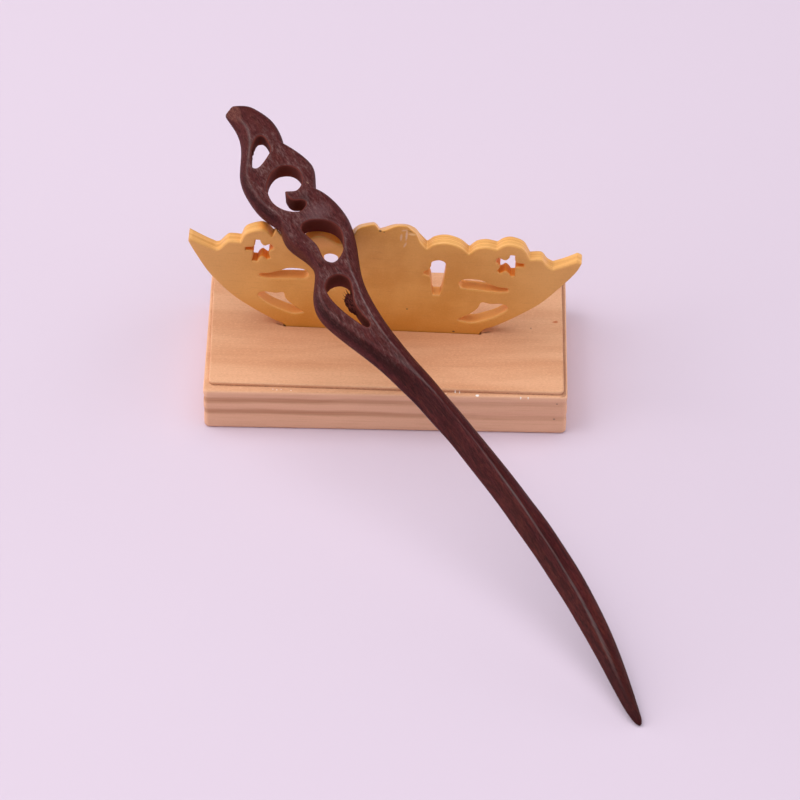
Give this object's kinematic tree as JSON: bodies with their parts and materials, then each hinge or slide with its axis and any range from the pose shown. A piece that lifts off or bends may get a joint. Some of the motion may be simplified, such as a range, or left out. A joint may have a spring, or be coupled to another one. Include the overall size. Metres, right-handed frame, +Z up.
{
  "type": "hair stick on display stand",
  "caption": "Carved dark wood hair stick with a pierced wavy head, lying across a pierced scalloped plaque that stands in a plain wood block.",
  "frame": {"origin": "middle of the underside of the stand's block, on the surface that the stand is set on", "axes": "+X along the block to the right, +Y to the back, +Z up"},
  "size_m": [0.1032, 0.1369, 0.0575],
  "materials": {
    "dark_wood": "oiled and rubbed, satin",
    "honey_wood": "clear lacquer, satin",
    "pale_wood": "planed and sealed, matt"
  },
  "bodies": {
    "root": {"hair_stick": "dark_wood", "stand_plaque": "honey_wood", "stand_base": "pale_wood"}
  },
  "joints": []
}
